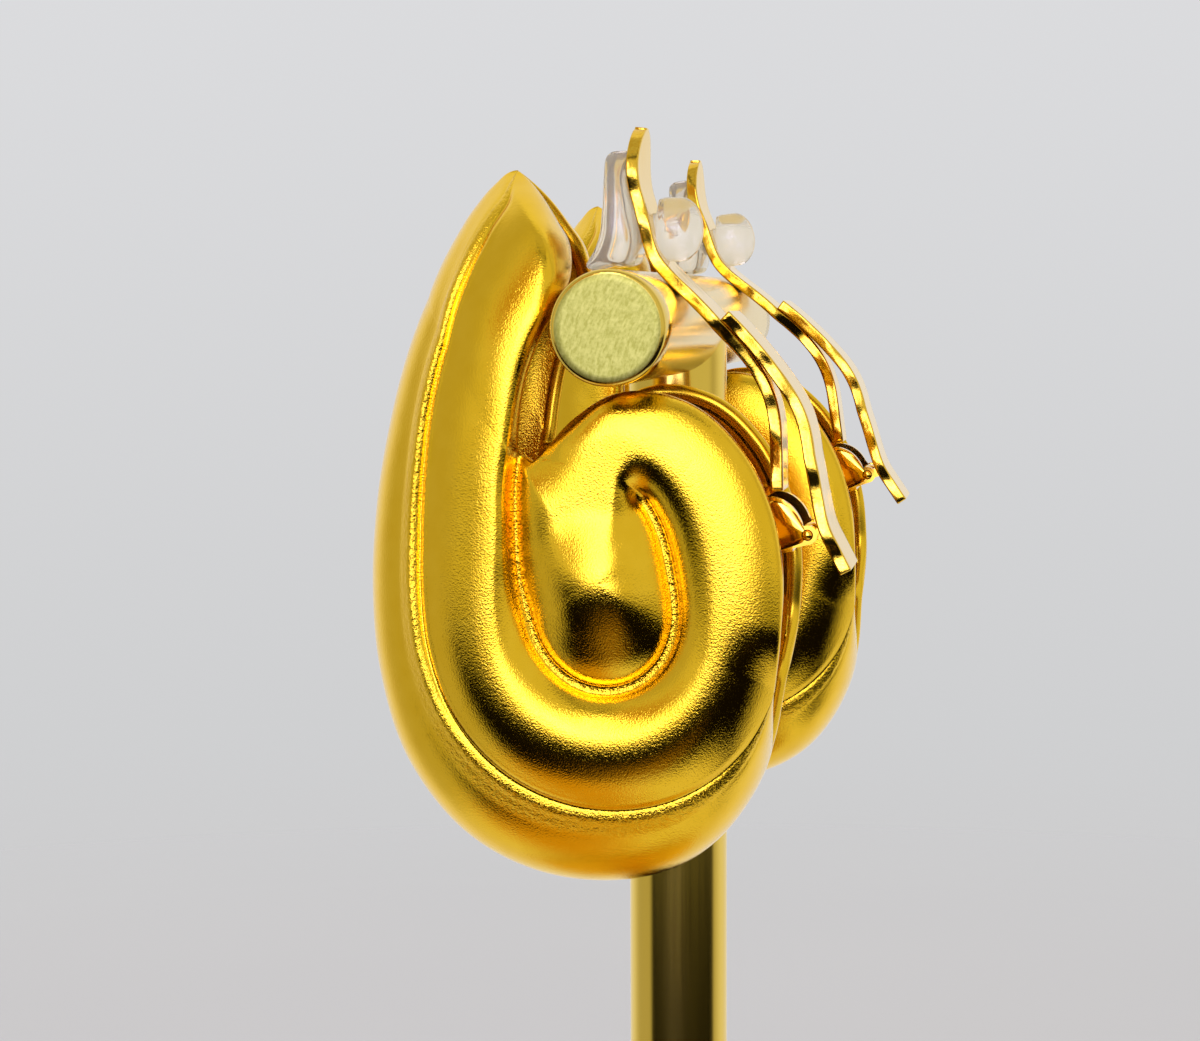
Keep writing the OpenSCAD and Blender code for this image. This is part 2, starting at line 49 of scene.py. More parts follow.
def camera_turn(yaw, pitch, roll):
    """Turn of a camera: its view is yawed from +Y towards +X, then pitched up, then rolled."""
    yaw, pitch, roll = map(math.radians, (yaw, pitch, roll))
    forward = Vector((math.sin(yaw) * math.cos(pitch), math.cos(yaw) * math.cos(pitch),
                      math.sin(pitch)))
    right = Vector((math.cos(yaw), -math.sin(yaw), 0.0))
    up = right.cross(forward)
    side = right * math.cos(roll) + up * math.sin(roll)
    top = up * math.cos(roll) - right * math.sin(roll)
    return Matrix((side, top, -forward)).transposed()


camera_data = bpy.data.cameras.new("camera")
camera_data.sensor_width = sensor_width
camera_data.lens = focal_px / photo_width * sensor_width
camera_data.clip_start = nearest
camera = bpy.data.objects.new("camera", camera_data)
bpy.context.scene.collection.objects.link(camera)
camera.matrix_world = (Matrix.Translation(camera_place)
                       @ camera_turn(camera_yaw, camera_pitch, camera_roll).to_4x4())
bpy.context.scene.camera = camera
bpy.context.scene.view_settings.view_transform = "Standard"


class Lead:
    """A shader socket that can stand in a sum. Each operation adds its Math node."""

    def __init__(self, tree, socket=None):
        self.tree, self.socket = tree, socket

    def node(self, kind, settings=None, sockets=None, out=0):
        """Adds a node: its settings first, then the values or leads of its sockets."""
        made = self.tree.nodes.new(kind)
        for name, value in (settings or {}).items():
            setattr(made, name, value)
        for name, value in (sockets or {}).items():
            if isinstance(value, Lead):
                self.tree.links.new(value.socket, made.inputs[name])
            else:
                made.inputs[name].default_value = value
        return Lead(self.tree, made.outputs[out])

    def math(self, operation, other=0.0):
        """A Math node on this lead and another lead or number."""
        return self.node("ShaderNodeMath", {"operation": operation}, {0: self, 1: other})

    def __add__(self, other):
        return self.math("ADD", other)

    def __sub__(self, other):
        return self.math("SUBTRACT", other)

    def __rsub__(self, other):
        return self.node("ShaderNodeMath", {"operation": "SUBTRACT"}, {0: other, 1: self})

    def __mul__(self, other):
        return self.math("MULTIPLY", other)

    __radd__, __rmul__ = __add__, __mul__

    def step(self, low, high):
        """Rises smoothly from 0 at low to 1 at high."""
        return self.node("ShaderNodeMapRange", {"interpolation_type": "SMOOTHSTEP"},
                         {0: self, 1: low, 2: high, 3: 0.0, 4: 1.0})

    def between(self, low, high, soft):
        """1 from low to high, falling smoothly to 0 over soft on both sides."""
        return self.step(low - soft, low + soft) * (1.0 - self.step(high - soft, high + soft))

    def blend(self, first, second):
        """Mixes two colours, this lead being the share of the second."""
        first, second = (c if isinstance(c, Lead) else (*c, 1.0) for c in (first, second))
        return self.node("ShaderNodeMix", {"data_type": "RGBA"}, {0: self, 6: first, 7: second},
                         out=2)

    def split(self):
        """The x, y and z of this lead's vector."""
        return [self.node("ShaderNodeSeparateXYZ", sockets={0: self}, out=n) for n in range(3)]

    def noise(self, scale, detail=2.0, roughness=0.5):
        """A cloudy pattern read at this lead's place, with scale cells to the metre."""
        return self.node("ShaderNodeTexNoise", sockets={
            0: self, "Scale": scale, "Detail": detail, "Roughness": roughness})


studio = bpy.data.worlds.new("studio")
bpy.context.scene.world = studio
studio.use_nodes = True
studio.node_tree.nodes.clear()
air = Lead(studio.node_tree)
way_x, way_y, way_z = air.node("ShaderNodeTexCoord", out=0).split()
rise = way_z.math("ARCSINE") * math.degrees(1.0)
aside = way_x.math("ARCTAN2", 0.0 - way_y) * math.degrees(1.0)

# Light that the metal mirrors, patch over patch. Rise is the height over the horizon and
# aside the turn from the camera's side towards the clips, in degrees.
# Columns: rise from, to, softness; aside from, to, softness; colour.
patches = [
    (-90, 90, 1, -112, 112, 18, (0.50, 0.47, 0.38)),
    (-90, -46, 5, -180, 180, 9, (0.76, 0.72, 0.70)),
    (-78, -46, 3, -72, -8, 9, (0.62, 0.36, 0.05)),
    (-11, 62, 3, -54, 92, 8, (0.68, 0.65, 0.52)),
    (-4.5, 22, 4, -19, 16, 7, (3.60, 3.40, 5.00)),
    (2, 12, 4, -11, 3, 6, (6.00, 6.00, 10.0)),
    (14, 48, 4, -42, -21, 4, (0.50, 0.30, 0.08)),
    (20, 40, 4, -17, 0, 4, (4.60, 4.40, 6.00)),
    (51, 58, 2, -34, 64, 6, (0.03, 0.03, 0.02)),
    (-50, -9, 3, -60, 98, 5, (0.004, 0.003, 0.002)),
    (-50, -34, 4, -12, 16, 6, (0.30, 0.18, 0.04)),
]
light = (0.84, 0.82, 0.80)
for low, high, soft, left, far, fade, colour in patches:
    light = (rise.between(low, high, soft) * aside.between(left, far, fade)).blend(light, colour)
# The camera itself sees a plain backdrop, a little darker low down.
backdrop = rise.step(-17.0, 14.0).blend((0.610, 0.614, 0.622), (0.724, 0.727, 0.744))
seen = air.node("ShaderNodeLightPath", out=0)
sky = air.node("ShaderNodeBackground", sockets={0: seen.blend(light, backdrop)})
studio.node_tree.links.new(
    sky.socket, studio.node_tree.nodes.new("ShaderNodeOutputWorld").inputs[0])

mm = 0.001


def new_piece(name, points, faces, body, slot, nodes=()):
    """Makes a smooth-shaded mesh of millimetre points. It rides on a body and takes the
    place of the nodes that are named."""
    mesh = bpy.data.meshes.new(name)
    mesh.from_pydata((np.asarray(points) * mm).tolist(), [], faces)
    mesh.validate()
    mesh.polygons.foreach_set("use_smooth", np.ones(len(mesh.polygons), bool))
    piece = bpy.data.objects.new(name, mesh)
    bpy.context.scene.collection.objects.link(piece)
    if body:
        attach(piece, body)
    if nodes:
        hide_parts(*nodes)
    return piece


def new_material(name, **constants):
    """A node material; returns it, its lead, its shader and its Object coordinates."""
    material = bpy.data.materials.new(name)
    material.use_nodes = True
    shader = material.node_tree.nodes["Principled BSDF"]
    for socket, value in constants.items():
        shader.inputs[socket.replace("_", " ")].default_value = value
    lead = Lead(material.node_tree)
    return material, lead, shader, lead.node("ShaderNodeTexCoord", out=3)


def feed(shader, socket, lead):
    """Joins a lead to a socket of a shader."""
    lead.tree.links.new(lead.socket, shader.inputs[socket])


def grid_faces(rows, columns, closed=False, flip=False):
    """Quads of a grid of points numbered row by row, closed over its columns if asked."""
    i, j = np.meshgrid(np.arange(rows - 1), np.arange(columns if closed else columns - 1),
                       indexing="ij")
    k = (j + 1) % columns
    quads = np.stack([i * columns + j, (i + 1) * columns + j, (i + 1) * columns + k,
                      i * columns + k], -1).reshape(-1, 4)
    return (quads[:, ::-1] if flip else quads).tolist()


# The table top fades out between two distances from its middle, in metres. The metal
# mirrors the studio's patches in its place.
floor_reach, floor_rings, floor_turns = 420.0, 12, 96
fade_start, fade_end = 0.10, 0.40
ring = np.linspace(0.0, 1.0, floor_rings)[:, None] * floor_reach
turn = np.linspace(0.0, 2 * math.pi, floor_turns, endpoint=False)[None, :]
floor_points = np.stack(
    [ring * np.cos(turn), ring * np.sin(turn), 0.0 * ring * turn], -1).reshape(-1, 3)
table_top = new_piece("table_top", floor_points,
                      grid_faces(floor_rings, floor_turns, closed=True), None, None)
table_top.visible_glossy = False
material, lead, shader, place = new_material("pale_table", Roughness=0.6)
feed(shader, "Base Color", place.noise(9.0).step(0.3, 0.7).blend(
    (0.77, 0.78, 0.82), (0.79, 0.80, 0.84)))
from_middle = lead.node("ShaderNodeVectorMath", {"operation": "LENGTH"}, {0: place}, out=1)
feed(shader, "Alpha", 1.0 - from_middle.step(fade_start, fade_end))
table_top.data.materials.append(material)

# The stand: a round foot turned from brass, a post let into it, and the bar brazed
# across the post's top. The rods are drawn and polished; the bar's ends are sawn and
# ground on a belt, which leaves a curved grain and a bright worn rim.
foot_r, foot_t, foot_round, foot_bevel = 30.0, 4.0, 1.2, 0.15
socket_r, socket_floor, socket_bevel = 2.55, 1.0, 0.1
# The rods' radius, the bar's height and half length, and the level of the post's foot.
rod_r, bar_level, bar_half, post_foot = 2.5, 88.0, 21.3, 1.05
# A rod end's bevel: its start on the face, a point on its round, and its end on the side.
bar_bevel, bevel_round, bevel_end = 0.15, (0.05, 0.08), 0.18
# Rings of points at these distances from an edge keep flats and rods even in the light.
foot_ring, under_ring, face_ring, rod_ring, post_ring = 4.0, 1.0, 0.35, 2.0, 12.0


def lathe(profile, start, along, across, turns=128):
    """Carries a profile of (radius, distance along the axis) once round the axis."""
    profile = np.asarray(profile, float)
    along, across = np.asarray(along, float), np.asarray(across, float)
    third = np.cross(along, across)
    angle = np.linspace(0.0, 2 * math.pi, turns, endpoint=False)
    spoke = np.cos(angle)[:, None] * across + np.sin(angle)[:, None] * third
    points = (np.asarray(start, float) + profile[:, 1, None, None] * along
              + profile[:, 0, None, None] * spoke[None])
    return points.reshape(-1, 3), grid_faces(len(profile), turns, closed=True)


def arc(centre, radius, first, last, count):
    """Points of a circle's arc between two angles in degrees."""
    angle = np.radians(np.linspace(first, last, count))
    return np.asarray(centre, float) + radius * np.stack([np.cos(angle), np.sin(angle)], -1)


def merged(*parts):
    """Joins (points, faces) pairs into one pair."""
    points, faces, start = [], [], 0
    for part_points, part_faces in parts:
        points.append(part_points)
        faces += [[n + start for n in face] for face in part_faces]
        start += len(part_points)
    return np.concatenate(points), faces


def weld(piece, distance=1e-6):
    """Merges doubled points, closes what that leaves and turns the faces outwards."""
    work = bmesh.new()
    work.from_mesh(piece.data)
    bmesh.ops.remove_doubles(work, verts=work.verts, dist=distance)
    bmesh.ops.dissolve_degenerate(work, dist=distance * 0.1, edges=work.edges)
    bmesh.ops.recalc_face_normals(work, faces=work.faces)
    work.to_mesh(piece.data)
    work.free()


def bump(shader, height, strength, depth):
    """Feeds the shader's Normal with a height, counted in units of a depth in metres."""
    feed(shader, "Normal", height.node("ShaderNodeBump", sockets={
        "Strength": strength, "Distance": depth, "Height": height}))


up, right, back = (0, 0, 1), (1, 0, 0), (0, 1, 0)
foot_profile = np.concatenate([
    [[0.0, socket_floor], [socket_r, socket_floor], [socket_r, foot_t - socket_bevel]],
    [[socket_r + socket_bevel, foot_t], [foot_r - foot_round - foot_ring, foot_t]],
    arc((foot_r - foot_round, foot_t - foot_round), foot_round, 90.0, 0.0, 12),
    [[foot_r, foot_bevel], [foot_r - foot_bevel, 0.0], [foot_r - under_ring, 0.0], [0.0, 0.0]]])
foot = new_piece("foot", *lathe(foot_profile, (0, 0, 0), up, right, turns=192),
                 "stand_and_shells", "brushed_brass", ["stand_base"])
weld(foot)

rod_end = [[0.0, 0.0], [rod_r - bar_bevel - face_ring, 0.0], [rod_r - bar_bevel, 0.0],
           [rod_r - bevel_round[0], bevel_round[1]], [rod_r, bevel_end]]
post_length, bar_length = bar_level - post_foot, 2 * bar_half
post_profile = rod_end + [[rod_r, post_ring], [rod_r, post_length - rod_ring],
                          [rod_r, post_length], [0.0, post_length]]
bar_profile = rod_end + [[rod_r, rod_ring], [rod_r, bar_length - rod_ring]] + [
    [r, bar_length - d] for r, d in rod_end[::-1]]
post = new_piece("post_and_bar", *merged(
    lathe(post_profile, (0, 0, post_foot), up, right),
    lathe(bar_profile, (0, -bar_half, bar_level), back, right)),
    "stand_and_shells", "brushed_brass", ["stand_tee"])
weld(post)

# Brass: fine straight grain on the rods and the foot, belt grain on the bar's sawn ends.
# The belt grain comes in between these distances from the bar's end, and gives way to the
# worn rim between these radii.
face_from, face_to, worn_from, worn_to = 0.12, 0.03, 2.26, 2.34
# Middle of the belt's curved strokes in x and z, and their number to the metre and the radian.
stroke_x, stroke_z, strokes_across, strokes_along = 10.5, 83.5, 8000.0, 22.0
rod_colour, end_dark, end_bright = (0.86, 0.62, 0.11), (0.35, 0.34, 0.06), (0.54, 0.52, 0.13)
material, lead, shader, place = new_material("brushed_brass", Metallic=1.0)
place_x, place_y, place_z = place.split()
end_face = place_y.math("ABSOLUTE").step((bar_half - face_from) * mm, (bar_half - face_to) * mm)
off_z = place_z - bar_level * mm
radius = (place_x * place_x + off_z * off_z).math("SQRT")
ground = end_face * (1.0 - radius.step(worn_from * mm, worn_to * mm))
far_x, far_z = place_x - stroke_x * mm, place_z - stroke_z * mm
sweep = (far_x * far_x + far_z * far_z).math("SQRT")
stroke_way = lead.node("ShaderNodeCombineXYZ", sockets={
    0: sweep * strokes_across, 1: far_z.math("ARCTAN2", far_x) * strokes_along})
end_grain = stroke_way.noise(1.0) * 0.6 + place.noise(7000.0) * 0.4
end_colour = end_grain.step(0.30, 0.70).blend(end_dark, end_bright)
draw_mark = lead.node("ShaderNodeMapping", sockets={
    0: place, "Scale": (9000.0, 300.0, 120.0)}).noise(1.0)
feed(shader, "Base Color", ground.blend(rod_colour, end_colour))
feed(shader, "Roughness", ground * 0.30 + 0.13 + draw_mark * 0.06)
bump(shader, end_face * end_grain + (1.0 - end_face) * draw_mark * 0.12, 0.4, 0.00002)
post.data.materials.append(material)
foot.data.materials.append(material)

# The shells: each is a hollow of gold-plated sheet in the form of a plump tube that tapers
# to a tip, runs down the front and round the bottom, and curls into a scroll. Both sides are
# pressed alike and meet in a smooth band along the front; the back is left open.

# The sheet's thickness; half the width at the tube's crown and at the scroll's free edge;
# the fall from the crown to the crease on the horn and on the scroll.
wall, crown_level, edge_level, horn_fall, swirl_fall = 0.65, 5.5, 4.95, 1.4, 1.1
# The scroll's centre from the bar's axis, and its rays from the seam with the horn.
swirl_x, swirl_z, seam_angle, ray_step, ray_count = -1.0, -11.2, 124.0, 7.5, 48
# Rays at which the back opens and the band ends, the degrees over which the free edge then
# moves out, and the power of that rise.
open_ray, band_ray, open_span, open_power = 25, 27, 36.0, 0.8
# Each earring's distance from the post, and the rear one's turn about the bar.
earring_offset, back_turn = 12.9, 6.4

# One row for every 20 degrees from the seam ray: groove, crease and outer radius.
row_step = 20.0
swirl_rows = np.array([
    [6.62, 12.55, 15.32], [4.82, 9.89, 12.80], [4.00, 8.59, 11.64], [3.70, 8.30, 11.48],
    [3.69, 8.66, 12.15], [4.07, 9.30, 13.38], [4.54, 9.88, 14.38], [4.89, 10.24, 14.52],
    [4.91, 10.32, 13.84], [4.56, 10.03, 11.80], [3.99, 9.24, 9.30], [3.44, 8.34, 8.34],
    [3.15, 8.12, 8.12], [3.20, 8.28, 8.28], [3.55, 8.62, 8.62], [4.12, 8.84, 8.84],
    [4.70, 8.38, 8.38], [5.40, 7.00, 7.00], [6.62, 6.62, 6.62]])
# Ribs of the horn up to the tip: back edge x and z, crease x and z, front x and z. The first
# rib is the scroll's seam ray.
seam = np.array([math.cos(math.radians(seam_angle)), math.sin(math.radians(seam_angle))])
seam_rib = ((swirl_x, swirl_z) + swirl_rows[0][:, None] * seam).ravel()
horn_rows = np.array([
    seam_rib, [-4.69, -5.20, -7.89, -0.20, -9.40, 2.00],
    [-4.52, -3.60, -7.68, 0.66, -9.10, 2.68], [-4.22, -2.10, -7.44, 1.43, -8.80, 3.30],
    [-3.66, -0.55, -7.13, 2.28, -8.42, 4.00], [-3.02, 0.75, -6.84, 3.02, -8.08, 4.58],
    [-2.62, 2.20, -6.51, 3.76, -7.74, 5.14], [-2.81, 3.66, -6.20, 4.48, -7.32, 5.70],
    [-3.43, 4.71, -5.87, 5.07, -6.95, 6.16], [-4.11, 5.72, -5.62, 5.60, -6.54, 6.56],
    [-4.80, 6.50, -5.56, 6.36, -6.06, 6.98], [-5.55, 7.13, -5.55, 7.13, -5.55, 7.13]])
# The groove's half width and depth, the bead's height and half width, and the half width of
# the groove's mark.
groove_half, groove_cut, bead_height, bead_half, mark_half = 0.36, 0.2, 0.14, 0.11, 0.4
# The tube's sides: fall to the groove, powers of the two arches, places of the crown.
dome_drop, inner_arch, outer_arch, horn_crown, swirl_crown = 1.05, 2.05, 2.3, 0.14, 0.42
# A tube narrower than this is flattened.
full_width = 1.5
# The core's rise, its radius and the power of its fall; the lean of the band.
core_rise, core_spread, core_arch, band_lean = 0.5, 3.3, 2.5, 0.5
# Width and fall of a free edge that turns in, on the scroll and near the horn's tip.
edge_round, edge_fall, tip_round, tip_fall = 0.65, 0.45, 1.05, 3.2


def held(t):
    """The value kept from 0 to 1."""
    return np.clip(t, 0.0, 1.0)


def eased(t):
    """Rises from 0 to 1 as three squares less two cubes of the value."""
    return held(t) ** 2 * (3.0 - 2.0 * held(t))


def coming(at, stretch):
    """Rises from 0 to 1 over a stretch, which is given as its start and its length."""
    start, length = stretch
    return eased((at - start) / length)


def between_rows(rows, at):
    """Rows of a table read between its lines, by a smooth cubic through four of them."""
    i = np.minimum(np.floor(at).astype(int), len(rows) - 2)
    t = (at - i)[..., None]
    before = 3 * rows[:1] - 3 * rows[1:2] + rows[2:3]
    after = 3 * rows[-1:] - 3 * rows[-2:-1] + rows[-3:-2]
    rows = np.concatenate([before, rows, after])
    a, b, c, d = (rows[i + n] for n in range(4))
    return b + t * ((c - a) / 2 + t * ((2 * a - 5 * b + 4 * c - d) / 2
                                       + t * (3 * b - 3 * c + d - a) / 2))


taper_start, taper_length, taper_power = -6.0, 13.13, 5


def taper(z):
    """Share of the full width, falling from the scroll to the horn's tip."""
    return 1.0 - held((z - taper_start) / taper_length) ** taper_power


def valley(d, bead):
    """The groove's own depth at a distance from its line, less the bead along it."""
    return (groove_cut * np.exp(-(d / groove_half) ** 2)
            - bead * bead_height * np.exp(-(d / bead_half) ** 2))


# The crease: a ridge on the band, the fine cut, and a low ridge on the tube. Columns: height,
# place on the band's side of the cut, half width.
crease_bells = [(0.28, 0.48, 0.30), (-0.14, 0.0, 0.1), (0.06, -0.24, 0.12)]


def crease_line(d, bead):
    """The crease as a rise over the surface at a distance from its cut: a sum of bell
    curves. The distance counts as positive on the band's side."""
    return bead * sum(height * np.exp(-((d - place) / width) ** 2)
                      for height, place, width in crease_bells)


def tube_drop(share, width, crown, inner_drop, rim_drop):
    """How far a tube's side lies under its crown at a share of the way from the groove to
    the rim: a low arch over the crown line, flattened where the tube runs out."""
    inner = inner_drop * held(1 - share / crown) ** inner_arch
    outer = rim_drop * held((share - crown) / (1 - crown)) ** outer_arch
    full = eased(width / full_width)
    return (inner + outer) * full + dome_drop * (1 - full)


def core_drop(d, bead):
    """Fall of the scroll's core towards the groove at a distance from its line."""
    return dome_drop * held(1 - d / core_spread) ** core_arch + valley(d, bead)


def rounding(d, width, fall):
    """Fall of a free edge that turns in along a quarter oval."""
    return fall * (1 - np.sqrt(1 - held(1 - d / width) ** 2))


def band_arc(v, start, start_level, end, end_level):
    """The band from crease to front line: a quarter oval, leaned at its start towards the
    straight line between its ends so that it leaves the crease already falling."""
    u = held(v - 2)
    lean = band_lean * (1 - u) ** 2
    out = (1 - lean) * np.sin(u * math.pi / 2) + lean * u
    fall = (1 - lean) * (1 - np.cos(u * math.pi / 2)) + lean * u
    return (start + (end - start) * out[..., None],
            start_level + (end_level - start_level) * fall)


# Stretches of the scroll in degrees, each a start and a length: where its sides grow plumper,
# where the crease sinks and ends, where the rim falls deeper, where groove and core end, and
# where the root of the notch between scroll and horn forms.
plumper, crease_sinks, crease_ends, rim_deepens = (150, 90), (185, 60), (300, 24), (284, 42)
groove_ends, root_forms = (421, 19), (446, 38)
# Beside that root the sheet is cut back from the form's rim: how far, the stretch where this
# comes, the degrees over which it goes again, and the least gap that it leaves to the groove.
notch_cut, cut_comes, cut_goes, least_gap = 0.62, (459, 20), 4.5, 0.1
last_angle = seam_angle + ray_count * ray_step
# The share that the crease sinks, the rim's extra fall, the rays over which the free edge
# comes to be rounded, the band's length for its width in plan, and its last share, over
# which the crease fades out.
crease_sink, late_fall, edge_rays, band_stretch, fade_share = 0.6, 1.05, 5, 1.2, 0.25


def swirl_side(turns, columns, bead):
    """Points and marks of the scroll's near side on a grid of rays and columns. A column is
    0 at the centre, 1 at the groove, 2 at the crease and 3 at the front line, which the
    band reaches along a quarter oval. Marks: groove, band."""
    i, v = np.meshgrid(turns, columns, indexing="ij")
    angle = seam_angle + i * ray_step
    groove, crease, outer = np.moveaxis(between_rows(swirl_rows, i * ray_step / row_step), -1, 0)
    grooved = 1 - coming(angle, groove_ends)
    root = coming(angle, root_forms)
    banded = i < band_ray
    rim = np.where(banded, crease, outer)
    end = rim - notch_cut * coming(angle, cut_comes) * eased((last_angle - angle) / cut_goes)
    turn_r = np.minimum(groove, end - least_gap * held(ray_count - i))
    r = np.where(v <= 1, v * turn_r, turn_r + held(v - 1) * (end - turn_r))
    outer_level = np.where(i <= open_ray, 0.0, edge_level * np.sin(
        0.5 * math.pi * held((i - open_ray) * ray_step / open_span)) ** open_power)
    plump = coming(angle, plumper)
    crown = horn_crown + (swirl_crown - horn_crown) * plump
    rim_drop = np.where(banded, horn_fall + (swirl_fall - horn_fall) * plump
                        + late_fall * coming(angle, rim_deepens), crown_level - outer_level)
    share = held((r - groove) / np.maximum(rim - groove, 1e-6))
    core = grooved * core_drop(groove - r, bead)
    tube = (tube_drop(share, rim - groove, crown, grooved * dome_drop, rim_drop)
            + grooved * valley(r - groove, bead))
    level = crown_level - np.where(r < groove, core, tube)
    level = level - coming(i, (band_ray, edge_rays)) * (1 - root) * rounding(
        end - r, edge_round, edge_fall)
    level = level + root * (crown_level - core_drop(rim - r, bead) - level)
    level = level + core_rise * held(1 - (r / core_spread) ** 2) ** 2
    spoke = np.stack([np.cos(np.radians(angle)), np.sin(np.radians(angle))], -1)
    plan, level = band_arc(v * banded, r[..., None] * spoke, level,
                           outer[..., None] * spoke, outer_level)
    way = np.where(v > 2, (v - 2) * band_stretch * (outer - rim), r - rim)
    level = level + crease_line(way, bead) * held((3 - v) / fade_share) * banded * (
        1 - crease_sink * coming(angle, crease_sinks)) * (1 - coming(angle, crease_ends))
    plan = plan + (swirl_x, swirl_z)
    level = level * np.where(i < open_ray, taper(plan[..., 1]), 1.0)
    marks = np.stack([grooved * np.exp(-((r - groove) / mark_half) ** 2) * (v <= 2),
                      held(v - 2) * banded], -1)
    return np.stack([plan[..., 0], -level, plan[..., 1]], -1), marks


# Stretches of the horn in ribs: where its groove ends, where its back edge frees itself from
# the scroll, and where that edge turns in further. The crease ends half a rib before the tip.
horn_groove_ends, edge_frees, edge_closes, crease_rib = (0, 1.5), (0, 2.5), (4, 3.5), 10.5
# The share of its fall to the groove that the back edge loses once it is free.
freed_share = 0.7


def horn_side(ribs, columns, bead):
    """Points and marks of the horn's near side: ribs from the seam ray to the tip, columns
    from 1 at the back edge over 2 at the crease to 3 at the front line."""
    k, v = np.meshgrid(ribs, columns, indexing="ij")
    back_edge, crease, front_line = (between_rows(horn_rows[:, 2 * n:2 * n + 2], k)
                                     for n in range(3))
    width = np.linalg.norm(crease - back_edge, axis=-1)
    share = held(v - 1)
    grooved = 1 - coming(k, horn_groove_ends)
    free, closing = coming(k, edge_frees), coming(k, edge_closes)
    turned = rounding(share * width, edge_round + (tip_round - edge_round) * closing,
                      edge_fall + (tip_fall - edge_fall) * closing)
    drop = tube_drop(share, width, horn_crown, dome_drop * (1 - freed_share * free), horn_fall)
    level = crown_level - drop - grooved * valley(share * width, bead) - free * turned
    plan, level = band_arc(v, back_edge + (crease - back_edge) * share[..., None], level,
                           front_line, 0.0)
    way = np.where(v > 2, (v - 2) * band_stretch * np.linalg.norm(front_line - crease, axis=-1),
                   (share - 1) * width)
    level = level + crease_line(way, bead) * held((3 - v) / fade_share) * held(crease_rib - k)
    marks = np.stack([grooved * np.exp(-(share * width / mark_half) ** 2) * (v <= 2),
                      held(v - 2)], -1)
    return np.stack([plan[..., 0], -level * taper(plan[..., 1]), plan[..., 1]], -1), marks


def on_bar(points, front):
    """Carries points round the bar's axis by the rear earring's turn, and to their place."""
    turn = 0.0 if front else math.radians(back_turn)
    x, y, z = np.moveaxis(np.asarray(points, float), -1, 0)
    return np.stack([x * math.cos(turn) - z * math.sin(turn),
                     y + (-earring_offset if front else earring_offset),
                     x * math.sin(turn) + z * math.cos(turn) + bar_level], -1)


def mirrored(points, faces):
    """The far side: the same points with Y reversed, and the faces turned round."""
    return points * np.array([1.0, -1.0, 1.0]), [face[::-1] for face in faces]


def normals_of(points, faces):
    """Mean normal at each point: the sum of its faces' normals, scaled to length one."""
    total = np.zeros_like(points)
    for corners in (3, 4):
        f = np.array([face for face in faces if len(face) == corners], int).reshape(-1, corners)
        square = np.cross(points[f[:, 2]] - points[f[:, 0]],
                          points[f[:, -1]] - points[f[:, 1 if corners == 4 else 0]])
        for n in range(corners):
            np.add.at(total, f[:, n], square)
    return total / np.maximum(np.linalg.norm(total, axis=1, keepdims=True), 1e-12)


def joined(points, marks, faces, grid=1e-4):
    """Makes one point of those that share a place, and leaves out the faces that vanish."""
    _, first, kind = np.unique(np.round(points / grid).astype(int), axis=0,
                               return_index=True, return_inverse=True)
    kind = kind.ravel()
    kept = []
    for face in faces:
        face = [int(kind[n]) for n in face]
        face = [n for n, after in zip(face, face[1:] + face[:1]) if n != after]
        if len(face) > 2 and len(set(face)) == len(face):
            kept.append(face)
    return first, marks[first], kept


def rim_loops(faces):
    """The open edges of a surface, as loops of points, in the direction of its faces."""
    edges = {(a, b) for f in faces for a, b in zip(f, f[1:] + f[:1])}
    after = {a: b for a, b in edges if (b, a) not in edges}
    loops = []
    while after:
        start, here = after.popitem()
        loop = [start]
        while here != start and here in after:
            loop.append(here)
            here = after.pop(here)
        loops.append(np.array(loop))
    return loops


def walled(outer, inner, marks, faces, lip_rows=5, lip_bulge=0.3):
    """Closes a sheet and its inner sheet along the open edge by a rounded lip, half an oval
    in section, and marks the outside 0, the lip a half and the inside 1."""
    count = len(outer)
    normal = normals_of(outer, faces)
    loop = max(rim_loops(faces), key=len)
    along = outer[np.roll(loop, -1)] - outer[np.roll(loop, 1)]
    out = np.cross(along, normal[loop])
    out /= np.maximum(np.linalg.norm(out, axis=1, keepdims=True), 1e-12)
    half = (outer[loop] - inner[loop]) / 2
    reach = lip_bulge * 2 * np.linalg.norm(half, axis=1, keepdims=True)
    angle = np.linspace(0, math.pi, lip_rows + 2)[1:-1, None, None]
    lip = (outer[loop] + inner[loop]) / 2 + half * np.cos(angle) + out * reach * np.sin(angle)
    new = 2 * count + np.arange(lip_rows * len(loop)).reshape(lip_rows, -1)
    rows = np.concatenate([loop[None], new, loop[None] + count])
    ahead = np.roll(rows, -1, axis=1)
    strip = np.stack([ahead[:-1], rows[:-1], rows[1:], ahead[1:]], -1).reshape(-1, 4)
    faces = faces + [[n + count for n in f[::-1]] for f in faces] + strip.tolist()
    place = np.concatenate([np.zeros(count), np.ones(count), np.full(new.size, 0.5)])
    marks = np.concatenate([marks, marks * 0, np.zeros((new.size, marks.shape[1]))])
    return (np.concatenate([outer, inner, lip.reshape(-1, 3)]),
            np.column_stack([marks, place]), faces)


def spans(*stretches):
    """Numbers of several (first, last, count) stretches in one rising row."""
    return np.unique(np.concatenate([np.linspace(*s) for s in stretches]).round(6))


